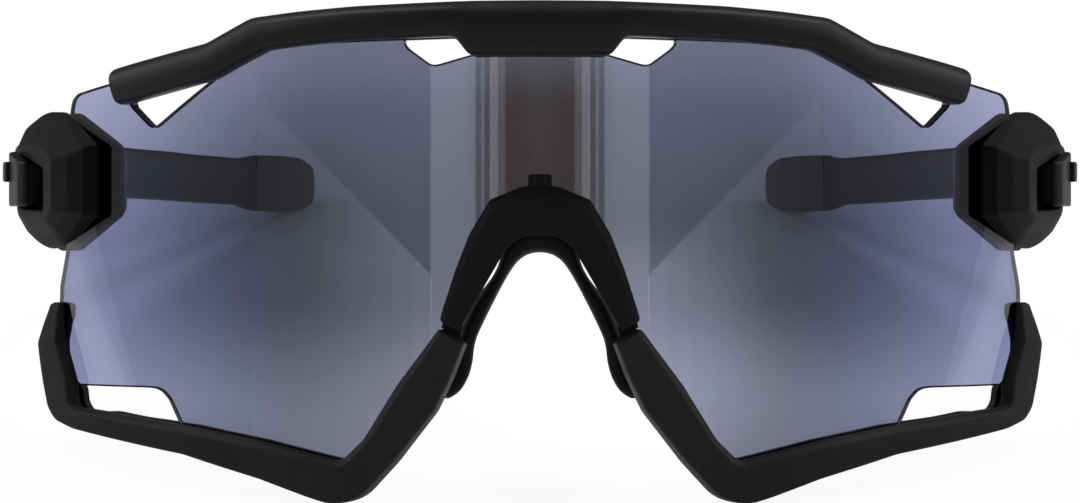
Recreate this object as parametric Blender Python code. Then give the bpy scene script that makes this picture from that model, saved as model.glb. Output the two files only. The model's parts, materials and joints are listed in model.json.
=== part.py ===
"""Wrap shield sports glasses with a frame of clipped pieces, resting open on a table.

Everything is laid out in millimetres in the worn frame: x to the right, y back
toward the ears, z up, with the origin at the front of the lens. One empty tilts
the whole object so that it stands on its two lower rails and two temple tips.
"""
import math

import bmesh
import bpy
import numpy as np
from mathutils import Matrix

# Driving dimensions, in millimetres and degrees
MM = 0.001
FIT_GAP = 0.3             # clear space between neighbouring pieces
LENS_RADIUS = 88.0        # front face of the cylindrical shield, upright axis
LENS_THICKNESS = 1.8
BEND_STEP = 4.0           # longest facet along a bent piece

FRONT_EDGE = 2.2          # how far a rail stands in front of the lens at its lip
FRONT_RIDGE = 2.9         # the same at the ridge line of the rail
REAR_FACE = 3.4           # how far a rail reaches behind the front of the lens

BLOCK_ORIGIN = (57.9, 21.7)   # plan point on the lens where the hinge block starts
BLOCK_ANGLE = 65.0            # turn of the block's outer face from straight ahead
BLOCK_MID = 9.5               # height of the block's middle
BLOCK_TOP = 6.5               # outer face above the lens, along its normal
PLINTH_TOP = 3.0
PART_LEVEL = 2.1              # parting plane between outer block and carrier
CARRIER_BACK = -3.2
BLOCK_REAR = 22.5

HINGE_P = 25.5            # hinge axis in the block's own directions
HINGE_Q = -1.0
HINGE_Z = 10.6
EAR_RADIUS = 2.3
KNUCKLE_HEIGHT = 4.6
EAR_HEIGHT = 2.4
PIN_RADIUS = 0.8
PIN_BORE = 0.88

LOCK_FRONT = 11.2
LOCK_REAR = 19.8
LOCK_HALF = 3.2
LOCK_TRAVEL = 2.5

TEMPLE_START = 46.0       # where the plain arm starts behind the hinge
TEMPLE_END = 160.6
TEMPLE_X = 71.5
TEMPLE_SWEEP = 31.0       # how far the arm closes in toward the ear
TEMPLE_POWER = 1.75
GRIP_START = 137.0
TONGUE_END = 154.0

FOOT_POINT = (5.87, -31.94)   # rest point under the lower rails, (y, z)
TIP_POINT = (155.5, 7.3)      # rest point under the temple tips, (y, z)
REST_TILT = math.atan2(TIP_POINT[1] - FOOT_POINT[1], TIP_POINT[0] - FOOT_POINT[0])

# Frame pieces on the unrolled lens: pairs of (u, z) points across each rail,
# from the edge that takes the lens to the free edge, with the depth of the groove
# and the place where its rear wall starts
BROW_STATIONS = [
    ((0.0, 24.95), (0.0, 31.7), 1.9, 0.0),
    ((8.0, 24.95), (7.8, 31.65), 1.9, 0.0),
    ((10.6, 27.2), (10.4, 31.6), 1.9, 0.0),
    ((17.0, 27.1), (16.9, 31.4), 1.9, 0.0),
    ((24.0, 26.95), (24.0, 31.15), 1.9, 0.0),
    ((30.7, 26.4), (31.4, 30.65), 1.9, 0.0),
    ((35.15, 25.95), (37.9, 30.0), 1.9, 0.0),
    ((39.2, 24.1), (41.3, 28.45), 1.9, 0.2),
    ((43.3, 22.1), (44.6, 26.95), 1.9, 0.4),
    ((50.0, 20.75), (52.0, 25.6), 2.2, 1.0),
    ((55.2, 19.75), (57.6, 24.6), 3.0, 1.8),
    ((57.3, 19.4), (60.4, 24.1), 3.4, 2.2),
]
RAIL_STATIONS = [
    ((70.2, -6.8), (75.0, -6.8), 3.9, 2.7),
    ((69.7, -8.2), (75.9, -8.0), 5.1, 3.9),
    ((69.7, -10.7), (76.6, -10.4), 5.7, 4.5),
    ((69.7, -12.2), (77.9, -12.6), 6.9, 5.6),
    ((68.5, -14.8), (77.3, -14.7), 7.5, 6.2),
    ((65.7, -20.2), (74.7, -21.2), 7.6, 6.3),
    ((64.8, -20.8), (73.2, -23.0), 7.3, 6.0),
    ((62.6, -20.85), (68.2, -23.95), 4.6, 3.2),
    ((58.0, -21.35), (59.0, -25.2), 2.2, 0.6),
    ((48.3, -22.5), (48.0, -26.75), 2.0, 0.0),
    ((37.1, -24.5), (36.6, -29.6), 2.0, 0.0),
    ((28.4, -26.3), (30.0, -31.4), 2.0, 0.0),
    ((26.1, -26.75), (27.2, -32.2), 2.0, 0.0),
    ((25.4, -26.75), (25.5, -32.25), 2.0, 0.0),
    ((24.9, -26.4), (23.4, -31.4), 2.0, 0.0),
    ((22.5, -24.1), (19.0, -26.9), 2.0, 0.0),
    ((18.0, -16.9), (13.5, -20.3), 2.0, 0.0),
    ((15.2, -13.2), (10.7, -15.5), 2.0, 0.0),
    ((12.55, -9.75), (8.5, -11.7), 2.0, 0.0),
]
BRIDGE_STATIONS = [
    ((0.0, 8.25), (0.0, 2.1), 2.0, 0.0),
    ((2.0, 8.2), (1.8, 2.0), 2.0, 0.0),
    ((4.5, 7.4), (3.2, 1.3), 2.0, 0.0),
    ((6.3, 6.2), (4.2, 0.3), 2.0, 0.0),
    ((7.6, 4.0), (4.9, -1.0), 2.0, 0.0),
    ((8.5, 2.0), (5.6, -2.4), 2.0, 0.0),
    ((10.3, -3.0), (7.5, -5.9), 2.0, 0.0),
    ((11.9, -7.6), (9.3, -9.1), 1.8, 0.0),
    ((12.25, -8.8), (10.1, -10.0), 1.4, 0.0),
]
# Nose saddle: nose-side point (x, z), outward direction, thickness, depth, front y
PAD_STATIONS = [
    (0.0, -0.3, 90.0, 5.2, 6.0, 4.0),
    (2.4, -1.2, 66.0, 4.6, 6.2, 4.1),
    (4.2, -3.05, 42.0, 3.8, 7.0, 4.2),
    (5.9, -5.9, 28.0, 3.5, 8.5, 4.4),
    (7.4, -9.4, 22.0, 2.8, 10.0, 4.8),
    (8.6, -12.0, 18.0, 2.6, 11.0, 5.1),
    (9.15, -14.6, 14.0, 2.6, 11.5, 5.2),
    (9.8, -16.8, 26.0, 2.6, 10.8, 5.5),
    (10.8, -18.3, 48.0, 2.4, 9.0, 6.4),
    (12.3, -19.2, 72.0, 1.6, 6.0, 7.8),
]
PAD_FLARE = 0.2           # how fast the pads open toward the face

# Octagon of the hinge block as (p, z): p runs back along its outer face
BLOCK_BASE = [(0.0, 4.8), (0.0, 14.2), (8.6, 18.8), (15.5, 18.8),
              (22.5, 16.0), (22.5, 3.6), (15.5, 0.1), (8.6, 0.1)]
BLOCK_FACE = [(4.8, 5.4), (4.8, 12.8), (8.0, 13.9), (18.0, 13.9),
              (21.3, 13.0), (21.3, 5.9), (18.0, 4.9), (8.0, 4.7)]
# Temple arm: y, half thickness, half height, height of the middle
TEMPLE_STATIONS = [(50.0, 2.4, 4.4, 10.8), (56.0, 2.2, 4.25, 11.1), (63.0, 2.0, 4.1, 11.5),
                   (71.0, 1.85, 4.0, 11.9), (80.0, 1.75, 3.95, 12.1), (90.0, 1.7, 3.9, 12.2),
                   (100.0, 1.7, 3.9, 12.2), (110.0, 1.7, 3.9, 12.1), (120.0, 1.7, 3.9, 11.9),
                   (129.0, 1.7, 3.9, 11.8), (136.7, 1.7, 3.9, 11.7)]
GRIP_STATIONS = [(137.0, 1.8, 4.0), (139.0, 2.1, 4.3), (142.5, 2.45, 4.75), (150.0, 2.6, 4.85),
                 (155.5, 2.45, 4.65), (158.8, 1.95, 3.7), (160.6, 0.9, 1.9)]
GRIP_Z = 11.6
TONGUE_HALF = (0.8, 2.3)


def clear_scene():
    for old in list(bpy.data.objects):
        bpy.data.objects.remove(old, do_unlink=True)


def make_material(name, colour, roughness, metallic=0.0, transmission=0.0):
    material = bpy.data.materials.new(name)
    material.use_nodes = True
    shader = material.node_tree.nodes["Principled BSDF"]
    shader.inputs["Base Color"].default_value = (*colour, 1.0)
    shader.inputs["Roughness"].default_value = roughness
    shader.inputs["Metallic"].default_value = metallic
    shader.inputs["Transmission Weight"].default_value = transmission
    material.diffuse_color = (*colour, 1.0)
    return material


def bend(u, z, n):
    """Point on the unrolled lens (u along it, z up, n off its front) in the worn frame."""
    angle = u / LENS_RADIUS
    radius = LENS_RADIUS + n
    return (radius * math.sin(angle), LENS_RADIUS - radius * math.cos(angle), z)


def block_point(p, q, z):
    """Point in the hinge block's directions: p back, q outward, z up (right side)."""
    turn = math.radians(BLOCK_ANGLE)
    x = BLOCK_ORIGIN[0] + p * math.cos(turn) + q * math.sin(turn)
    y = BLOCK_ORIGIN[1] + p * math.sin(turn) - q * math.cos(turn)
    return (x, y, z)


def add_object(name, points, faces, material, origin=(0.0, 0.0, 0.0)):
    """One closed mesh under the resting empty, with its own origin in the worn frame."""
    shifted = (np.array(points, dtype=float) - np.array(origin)) * MM
    mesh = bpy.data.meshes.new(name)
    mesh.from_pydata([tuple(point) for point in shifted], [], [tuple(face) for face in faces])
    shape = bmesh.new()
    shape.from_mesh(mesh)
    bmesh.ops.connect_verts_nonplanar(shape, angle_limit=0.001, faces=shape.faces)
    bmesh.ops.recalc_face_normals(shape, faces=shape.faces)
    shape.to_mesh(mesh)
    shape.free()
    mesh.materials.append(material)
    placed = bpy.data.objects.new(name, mesh)
    bpy.context.scene.collection.objects.link(placed)
    placed.parent = REST
    placed.location = [value * MM for value in origin]
    return placed


def loft(rings):
    """Closed skin through rings of equal length, capped at both ends."""
    count = len(rings[0])
    points = [point for ring in rings for point in ring]
    faces = [tuple(range(count))]
    for row in range(len(rings) - 1):
        for col in range(count):
            nxt = (col + 1) % count
            base = row * count
            faces.append((base + col, base + nxt, base + count + nxt, base + count + col))
    last = (len(rings) - 1) * count
    faces.append(tuple(range(last + count - 1, last - 1, -1)))
    return points, faces


def cup(outer, inner):
    """Closed skin of a sleeve that is open at its first ring and shut at its last."""
    count = len(outer[0])
    points = [point for ring in outer for point in ring]
    start = len(points)
    points += [point for ring in inner for point in ring]
    faces = []
    for first, rows, flip in ((0, len(outer), False), (start, len(inner), True)):
        for row in range(rows - 1):
            for col in range(count):
                nxt = (col + 1) % count
                base = first + row * count
                quad = (base + col, base + nxt, base + count + nxt, base + count + col)
                faces.append(quad[::-1] if flip else quad)
        end = first + (rows - 1) * count
        lid = tuple(range(end, end + count))
        faces.append(lid[::-1] if flip else lid)
    for col in range(count):
        nxt = (col + 1) % count
        faces.append((col, start + col, start + nxt, nxt))
    return points, faces


def refine(stations, step=BEND_STEP):
    """Extra stations, so that no stretch of a bent rail is longer than the step."""
    result = [stations[0]]
    for near, far in zip(stations[:-1], stations[1:]):
        length = max(math.dist(near[0], far[0]), math.dist(near[1], far[1]))
        parts = max(1, math.ceil(length / step))
        for part in range(1, parts + 1):
            share = part / parts
            edge = tuple(a + (b - a) * share for a, b in zip(near[0], far[0]))
            free = tuple(a + (b - a) * share for a, b in zip(near[1], far[1]))
            depth, lip = (a + (b - a) * share for a, b in zip(near[2:], far[2:]))
            result.append((edge, free, depth, lip))
    return result


def rail_ring(station, top_front, top_rear):
    """Ring of a grooved rail: lip, ridge, free edge, back, and the groove for the lens."""
    edge, free, depth, lip = station
    width = math.dist(edge, free)
    rear_wall = LENS_THICKNESS + FIT_GAP
    profile = [(0.0, FRONT_EDGE), (0.42 * width, FRONT_RIDGE), (width, top_front),
               (width, -top_rear), (max(0.72 * width, lip + 0.4), -REAR_FACE), (lip, -REAR_FACE + 0.2),
               (lip, -rear_wall), (depth, -rear_wall), (depth, FIT_GAP), (0.0, FIT_GAP)]
    ring = []
    for reach, level in profile:
        share = reach / width
        u = edge[0] + (free[0] - edge[0]) * share
        z = edge[1] + (free[1] - edge[1]) * share
        ring.append(bend(u, z, level))
    return ring


def seat_line(stations):
    """Edge of the lens inside a rail's groove, short of the groove floor by the gap."""
    line = []
    for edge, free, depth, lip in stations:
        share = (depth - FIT_GAP) / math.dist(edge, free)
        line.append((edge[0] + (free[0] - edge[0]) * share, edge[1] + (free[1] - edge[1]) * share))
    return line


def mirror_stations(stations):
    """Left half then right half of a rail that crosses the middle."""
    left = [((-edge[0], edge[1]), (-free[0], free[1]), depth, lip)
            for edge, free, depth, lip in stations[:0:-1]]
    return left + stations


def bent_plate(outline, front, back, step=BEND_STEP):
    """Closed plate: a flat outline on the unrolled lens, sliced upright and bent round."""
    flat = bmesh.new()
    flat.faces.new([flat.verts.new((u, 0.0, z)) for u, z in outline])
    low = min(u for u, z in outline)
    high = max(u for u, z in outline)
    cuts = math.ceil((high - low) / step)
    for index in range(1, cuts):
        place = low + (high - low) * index / cuts
        geometry = flat.verts[:] + flat.edges[:] + flat.faces[:]
        bmesh.ops.bisect_plane(flat, geom=geometry, dist=1e-6,
                               plane_co=(place, 0.0, 0.0), plane_no=(1.0, 0.0, 0.0))
    bmesh.ops.triangulate(flat, faces=flat.faces)
    flat.verts.index_update()
    count = len(flat.verts)
    points = [bend(vert.co.x, vert.co.z, front) for vert in flat.verts]
    points += [bend(vert.co.x, vert.co.z, back) for vert in flat.verts]
    faces = []
    for face in flat.faces:
        ids = [vert.index for vert in face.verts]
        faces.append(tuple(ids))
        faces.append(tuple(count + index for index in reversed(ids)))
    for edge in flat.edges:
        if edge.is_boundary:
            one, two = edge.verts[0].index, edge.verts[1].index
            faces.append((one, two, count + two, count + one))
    flat.free()
    return points, faces


def box(low, high, place):
    """Box between two corners in the directions of a placing function."""
    corners = [(low[0], low[1]), (high[0], low[1]), (high[0], high[1]), (low[0], high[1])]
    rings = [[place(a, b, level) for a, b in corners] for level in (low[2], high[2])]
    return loft(rings)


def upright_prism(outline, low, high):
    """Prism over a plan outline in the worn frame."""
    return loft([[(x, y, level) for x, y in outline] for level in (low, high)])


def circle(centre, radius, count=24):
    return [(centre[0] + radius * math.cos(2.0 * math.pi * k / count),
             centre[1] + radius * math.sin(2.0 * math.pi * k / count)) for k in range(count)]


def tool(name, skin):
    """Hidden helper solid for a Boolean."""
    helper = add_object(name, skin[0], skin[1], STEEL)
    helper.hide_render = True
    helper.display_type = "WIRE"
    return helper


def shape_with(target, name, skin, operation):
    modifier = target.modifiers.new(name, "BOOLEAN")
    modifier.operation = operation
    modifier.solver = "EXACT"
    modifier.object = tool(target.name + "_" + name, skin)


def rest_flat(target):
    """Cuts the flat on which the object stands, level with the table."""
    modifier = target.modifiers.new("rest", "BOOLEAN")
    modifier.operation = "DIFFERENCE"
    modifier.solver = "EXACT"
    modifier.object = TABLE


def mirrored(source, name):
    """Left copy of a finished right piece."""
    bpy.context.view_layer.update()
    graph = bpy.context.evaluated_depsgraph_get()
    mesh = bpy.data.meshes.new_from_object(source.evaluated_get(graph))
    mesh.name = name
    mesh.transform(Matrix.Diagonal((-1.0, 1.0, 1.0, 1.0)))
    mesh.flip_normals()
    placed = bpy.data.objects.new(name, mesh)
    bpy.context.scene.collection.objects.link(placed)
    placed.parent = REST
    placed.location = (-source.location[0], source.location[1], source.location[2])
    return placed


def make_lens():
    brow = seat_line(BROW_STATIONS)
    rail = seat_line(RAIL_STATIONS)
    bridge = seat_line(BRIDGE_STATIONS)
    right = brow[0:2]
    right += [(8.7, 25.0), (13.4, 23.85), (14.2, 23.95), (17.0, 26.0), (17.3, 26.6), (17.35, 28.68)]
    right += brow[4:9]
    right += [(44.4, 22.35), (53.8, 16.85), (54.7, 16.45), (55.5, 16.75), (59.0, 19.5)]
    right += [(59.6, 22.6), (62.7, 22.2), (69.3, 21.0), (70.3, 20.35), (71.0, 18.8), (71.5, 11.5)]
    right += [(69.0, 11.2), (69.0, 8.0), (71.65, 7.7), (72.0, 0.1), (73.4, -4.5)]
    right += rail[0:5]
    right += [(70.9, -18.1), (55.6, -18.05), (54.2, -18.15), (53.3, -18.5), (52.0, -19.6), (49.8, -23.2)]
    right += rail[9:]
    right += bridge[:0:-1]
    right += [(1.6, 6.6), (1.6, 9.9)]
    left = [(-u, z) for u, z in right[:0:-1]]
    points, faces = bent_plate(right + left, 0.0, -LENS_THICKNESS)
    return add_object("shield_lens", points, faces, LENS)


def make_brow_bar():
    stations = refine(mirror_stations(BROW_STATIONS))
    points, faces = loft([rail_ring(station, 1.5, 2.2) for station in stations])
    return add_object("brow_bar", points, faces, FRAME)


def make_lower_rails():
    stations = refine(RAIL_STATIONS)
    points, faces = loft([rail_ring(station, 0.7, 2.0) for station in stations])
    right = add_object("lower_rail_right", points, faces, FRAME)
    rest_flat(right)
    mirrored(right, "lower_rail_left")


def make_nose_bridge():
    stations = refine(mirror_stations(BRIDGE_STATIONS), 3.0)
    points, faces = loft([rail_ring(station, 1.6, 2.4) for station in stations])
    bridge = add_object("nose_bridge", points, faces, FRAME)
    shape_with(bridge, "key", box((-1.3, 5.2, -2.8), (1.3, 9.6, 1.1), bend), "UNION")
    shape_with(bridge, "crown_peg", box((-2.4, 2.7, -5.6), (2.4, 4.1, -2.5), bend), "UNION")
    for side in (-1.0, 1.0):
        edges = sorted((side * 7.7, side * 8.9))
        peg = box((edges[0], -6.4, -6.2), (edges[1], -4.4, -2.5), bend)
        shape_with(bridge, "leg_peg_%d" % side, peg, "UNION")


def pad_ring(station):
    """Ring of the nose saddle: a soft strip that opens outward toward the face."""
    x, z, turn, thick, depth, front = station
    out = (math.cos(math.radians(turn)), math.sin(math.radians(turn)))
    if x < 0.0:
        out = (-math.cos(math.radians(turn)), out[1])
    profile = [(0.5, 0.0), (0.0, 0.18), (0.0, 0.82), (0.5, 1.0),
               (0.85 * thick, 1.0), (thick, 0.82), (thick, 0.12), (0.85 * thick, 0.0)]
    ring = []
    for reach, share in profile:
        offset = reach + PAD_FLARE * share * depth * abs(out[0])
        ring.append((x + out[0] * offset, front + share * depth, z + out[1] * offset))
    return ring


def make_nose_pad():
    left = [(-s[0], *s[1:]) for s in PAD_STATIONS[:0:-1]]
    points, faces = loft([pad_ring(station) for station in left + PAD_STATIONS])
    pad = add_object("nose_pad", points, faces, RUBBER)
    gap = FIT_GAP
    crown = box((-2.4 - gap, 2.7 - gap, -5.6 - gap), (2.4 + gap, 4.1 + gap, -2.5), bend)
    shape_with(pad, "crown_socket", crown, "DIFFERENCE")
    for side in (-1.0, 1.0):
        edges = sorted((side * (7.7 - gap), side * (8.9 + gap)))
        socket = box((edges[0], -6.4 - gap, -6.2 - gap), (edges[1], -4.4 + gap, -2.5), bend)
        shape_with(pad, "leg_socket_%d" % side, socket, "DIFFERENCE")


def block_ring(outline, level):
    return [block_point(p, level, z) for p, z in outline]


def inset(outline, amount):
    """Octagon drawn in toward its middle."""
    mid_p = sum(p for p, z in outline) / len(outline)
    mid_z = sum(z for p, z in outline) / len(outline)
    result = []
    for p, z in outline:
        length = math.hypot(p - mid_p, z - mid_z)
        share = (length - amount) / length
        result.append((mid_p + (p - mid_p) * share, mid_z + (z - mid_z) * share))
    return result


def lens_side_cutter(front, back):
    """Slab that follows the lens edge at the hinge, with the fit gap round it."""
    outline = [(40.0, -8.0), (72.0 + FIT_GAP, -8.0), (72.3 + FIT_GAP, 0.1), (71.5 + FIT_GAP, 11.5),
               (71.2 + FIT_GAP, 18.8), (70.0, 27.0), (40.0, 27.0)]
    return bent_plate(outline, front, back)


def make_hinge_blocks():
    rings = [block_ring(BLOCK_BASE, -3.0), block_ring(BLOCK_BASE, PLINTH_TOP),
             block_ring(BLOCK_FACE, BLOCK_TOP)]
    points, faces = loft(rings)
    right = add_object("hinge_block_right", points, faces, FRAME)
    shape_with(right, "lens_slot", lens_side_cutter(FIT_GAP, -14.0), "DIFFERENCE")
    floor = PART_LEVEL + 0.5 * FIT_GAP
    under = box((7.0, -12.0, -6.0), (30.0, floor, 26.0), block_point)
    shape_with(right, "parting", under, "DIFFERENCE")
    half = LOCK_HALF + FIT_GAP
    room = box((LOCK_FRONT - LOCK_TRAVEL - FIT_GAP, 0.0, BLOCK_MID - 4.5),
               (21.6, 5.0, BLOCK_MID + 4.5), block_point)
    shape_with(right, "lock_room", room, "DIFFERENCE")
    slot = box((LOCK_FRONT - LOCK_TRAVEL - FIT_GAP, 4.0, BLOCK_MID - half),
               (LOCK_REAR + FIT_GAP, 9.0, BLOCK_MID + half), block_point)
    shape_with(right, "lock_slot", slot, "DIFFERENCE")
    mirrored(right, "hinge_block_left")


def make_hinge_carriers():
    top = PART_LEVEL - 0.5 * FIT_GAP
    rings = [block_ring(inset(BLOCK_BASE, 1.7), CARRIER_BACK),
             block_ring(BLOCK_BASE, CARRIER_BACK + 1.3), block_ring(BLOCK_BASE, top)]
    points, faces = loft(rings)
    right = add_object("hinge_carrier_right", points, faces, FRAME)
    cutter = lens_side_cutter(14.0, -LENS_THICKNESS - FIT_GAP)
    shape_with(right, "lens_slot", cutter, "DIFFERENCE")
    # Catch post that stands in the notch of the lens edge
    post = box((6.5, -2.0, 8.55), (9.4, top, 10.65), block_point)
    shape_with(right, "catch_post", post, "UNION")
    # Hook that holds the tongue of the slide lock
    hook = box((20.5, 0.5, 7.9), (21.3, 4.6, 11.1), block_point)
    shape_with(right, "hook", hook, "UNION")
    nose = box((19.6, 3.8, 7.9), (20.9, 4.6, 11.1), block_point)
    shape_with(right, "hook_nose", nose, "UNION")
    # Ears that carry the hinge screw
    inner = KNUCKLE_HEIGHT / 2.0 + FIT_GAP
    for mark, low in (("upper", HINGE_Z + inner), ("lower", HINGE_Z - inner - EAR_HEIGHT)):
        outline = ear_outline()
        ear = loft([[block_point(p, q, level) for p, q in outline]
                    for level in (low, low + EAR_HEIGHT)])
        shape_with(right, mark + "_ear", ear, "UNION")
    axis = HINGE_PLAN
    bore = upright_prism(circle(axis, PIN_BORE), HINGE_Z - 8.0, HINGE_Z + 8.0)
    shape_with(right, "pin_bore", bore, "DIFFERENCE")
    mirrored(right, "hinge_carrier_left")


def ear_outline():
    """Plan of one ear: a tongue from the carrier with a round end about the hinge."""
    outline = [(18.5, HINGE_Q + EAR_RADIUS), (18.5, HINGE_Q - EAR_RADIUS)]
    for k in range(13):
        turn = math.radians(-90.0 + 15.0 * k)
        outline.append((HINGE_P + EAR_RADIUS * math.cos(turn), HINGE_Q + EAR_RADIUS * math.sin(turn)))
    return outline


def make_slide_locks():
    """Thumb slide: flange under the block's face, cap above it, tongue under the hook."""
    mid = BLOCK_MID
    origin = block_point(0.5 * (LOCK_FRONT + LOCK_REAR), 6.0, mid)
    outline = [(LOCK_FRONT, 4.1), (LOCK_REAR - 0.6, 4.1), (LOCK_REAR - 0.6, 5.0), (LOCK_REAR, 5.0),
               (LOCK_REAR, 7.6), (LOCK_REAR - 0.5, 8.1), (LOCK_FRONT + 1.6, 8.1), (LOCK_FRONT, 6.9)]
    cap = loft([[block_point(p, q, level) for p, q in outline]
                for level in (mid - LOCK_HALF, mid + LOCK_HALF)])
    right = add_object("slide_lock_right", cap[0], cap[1], FRAME, origin)
    flange = box((LOCK_FRONT, 3.7, mid - 4.2), (LOCK_REAR - 0.6, 4.7, mid + 4.2), block_point)
    shape_with(right, "flange", flange, "UNION")
    tongue = box((13.4, 2.6, mid - 1.4), (20.2, 3.45, mid + 1.4), block_point)
    shape_with(right, "tongue", tongue, "UNION")
    web = box((13.4, 2.8, mid - 1.4), (18.6, 4.2, mid + 1.4), block_point)
    shape_with(right, "web", web, "UNION")
    nub = box((LOCK_REAR - 1.9, 7.4, mid + 0.4), (LOCK_REAR - 0.2, 9.1, mid + 3.0), block_point)
    shape_with(right, "nub", nub, "UNION")
    mirrored(right, "slide_lock_left")


def make_lock_springs():
    """Bowed leaf under the lock's flange that gives the slide its click."""
    rings = []
    for k in range(9):
        share = k / 8.0
        p = 12.4 + 6.0 * share
        q = PART_LEVEL + 0.25 + 0.75 * math.sin(math.pi * share)
        rings.append([block_point(p, q, 11.4), block_point(p, q, 13.0),
                      block_point(p, q + 0.3, 13.0), block_point(p, q + 0.3, 11.4)])
    points, faces = loft(rings)
    right = add_object("lock_spring_right", points, faces, STEEL)
    mirrored(right, "lock_spring_left")


def make_hinge_screws():
    inner = KNUCKLE_HEIGHT / 2.0 + FIT_GAP
    top = HINGE_Z + inner + EAR_HEIGHT
    low = HINGE_Z - inner - EAR_HEIGHT + 0.2
    steps = [(PIN_RADIUS, low), (PIN_RADIUS, top + 0.2), (1.5, top + 0.2), (1.5, top + 0.8),
             (1.1, top + 1.1)]
    rings = [[(x, y, level) for x, y in circle(HINGE_PLAN, radius)] for radius, level in steps]
    points, faces = loft(rings)
    right = add_object("hinge_screw_right", points, faces, STEEL)
    mirrored(right, "hinge_screw_left")


def temple_frame(y):
    """Middle of the arm in plan at one y, with the direction across it."""
    share = max(0.0, (y - TEMPLE_START) / (TEMPLE_END - TEMPLE_START))
    x = TEMPLE_X - TEMPLE_SWEEP * share ** TEMPLE_POWER
    slope = -TEMPLE_SWEEP * TEMPLE_POWER * share ** (TEMPLE_POWER - 1.0)
    slope /= TEMPLE_END - TEMPLE_START
    length = math.hypot(1.0, slope)
    return (x, y), (1.0 / length, -slope / length)


def arm_ring(centre, across, half_thick, half_high, middle):
    """Rounded section of the arm: an oblong with its four corners cut."""
    bevel = min(0.55 * half_thick, 0.4 * half_high)
    profile = [(half_thick, half_high - 1.4 * bevel), (half_thick - bevel, half_high),
               (-half_thick + bevel, half_high), (-half_thick, half_high - 1.4 * bevel),
               (-half_thick, -half_high + 1.4 * bevel), (-half_thick + bevel, -half_high),
               (half_thick - bevel, -half_high), (half_thick, -half_high + 1.4 * bevel)]
    return [(centre[0] + across[0] * side, centre[1] + across[1] * side, middle + rise)
            for side, rise in profile]


def make_temples():
    hinge = (*HINGE_PLAN, HINGE_Z)
    turn = math.radians(BLOCK_ANGLE)
    root = block_point(BLOCK_REAR + 0.4, 3.95, 0.0)
    rings = [arm_ring(root[:2], (math.sin(turn), -math.cos(turn)), 2.15, 4.5, HINGE_Z)]
    knee = math.radians(78.0)
    rings.append(arm_ring((71.75, 45.0), (math.sin(knee), -math.cos(knee)), 2.4, 4.5, HINGE_Z))
    for y, half_thick, half_high, middle in TEMPLE_STATIONS:
        rings.append(arm_ring(*temple_frame(y), half_thick, half_high, middle))
    rings.append(arm_ring(*temple_frame(136.7), *TONGUE_HALF, 11.7))
    rings.append(arm_ring(*temple_frame(TONGUE_END), *TONGUE_HALF, GRIP_Z))
    points, faces = loft(rings)
    right = add_object("temple_right", points, faces, FRAME, hinge)
    reach = KNUCKLE_HEIGHT / 2.0
    for mark, low, high in (("upper", HINGE_Z + reach, HINGE_Z + 8.0),
                            ("lower", HINGE_Z - 8.0, HINGE_Z - reach)):
        room = upright_prism(circle(HINGE_PLAN, EAR_RADIUS + 0.35), low, high)
        shape_with(right, mark + "_room", room, "DIFFERENCE")
    web = [block_point(p, q, 0.0)[:2] for p, q in
           ((HINGE_P - 2.3, HINGE_Q), (HINGE_P + 2.3, HINGE_Q), (HINGE_P + 3.4, 3.2),
            (HINGE_P - 1.9, 3.2))]
    web_skin = upright_prism(web, HINGE_Z - reach, HINGE_Z + reach)
    shape_with(right, "web", web_skin, "UNION")
    knuckle = upright_prism(circle(HINGE_PLAN, EAR_RADIUS), HINGE_Z - reach, HINGE_Z + reach)
    shape_with(right, "knuckle", knuckle, "UNION")
    bore = upright_prism(circle(HINGE_PLAN, PIN_BORE), HINGE_Z - 4.0, HINGE_Z + 4.0)
    shape_with(right, "pin_bore", bore, "DIFFERENCE")
    mirrored(right, "temple_left")


def make_temple_grips():
    hinge = (*HINGE_PLAN, HINGE_Z)
    outer = [arm_ring(*temple_frame(y), thick, high, GRIP_Z) for y, thick, high in GRIP_STATIONS]
    room = (TONGUE_HALF[0] + FIT_GAP, TONGUE_HALF[1] + FIT_GAP)
    inner = [arm_ring(*temple_frame(y), *room, GRIP_Z) for y in (137.0, 145.0, 154.4)]
    points, faces = cup(outer, inner)
    right = add_object("temple_grip_right", points, faces, RUBBER, hinge)
    rest_flat(right)
    mirrored(right, "temple_grip_left")


def centre_on_table():
    """Shifts the whole object so that its bounding box is centred over the origin."""
    bpy.context.view_layer.update()
    graph = bpy.context.evaluated_depsgraph_get()
    low, high = [], []
    for item in bpy.context.scene.objects:
        if item.type == "MESH" and not item.hide_render:
            shape = item.evaluated_get(graph)
            spots = [(shape.matrix_world @ vert.co).y for vert in shape.data.vertices]
            low.append(min(spots))
            high.append(max(spots))
    REST.location.y -= 0.5 * (min(low) + max(high))


clear_scene()
FRAME = make_material("black_nylon", (0.018, 0.018, 0.02), 0.38)
LENS = make_material("tinted_lens", (0.28, 0.29, 0.36), 0.04, 0.0, 0.6)
RUBBER = make_material("black_rubber", (0.022, 0.022, 0.024), 0.75)
STEEL = make_material("steel", (0.6, 0.6, 0.62), 0.3, 1.0)

REST = bpy.data.objects.new("rest_tilt", None)
bpy.context.scene.collection.objects.link(REST)
REST.rotation_euler = (-REST_TILT, 0.0, 0.0)
lift = FOOT_POINT[0] * math.sin(REST_TILT) - FOOT_POINT[1] * math.cos(REST_TILT)
REST.location = (0.0, 0.0, lift * MM)

HINGE_PLAN = block_point(HINGE_P, HINGE_Q, 0.0)[:2]

slab = box((-120.0, -240.0, -40.0), (120.0, 240.0, 0.0), lambda x, y, z: (x, y, z))
TABLE = tool("table_cutter", slab)
TABLE.parent = None
TABLE.location = (0.0, 0.0, 0.0)

make_lens()
make_brow_bar()
make_lower_rails()
make_nose_bridge()
make_nose_pad()
make_hinge_blocks()
make_hinge_carriers()
make_slide_locks()
make_lock_springs()
make_hinge_screws()
make_temples()
make_temple_grips()
centre_on_table()
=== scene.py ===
import json

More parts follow.
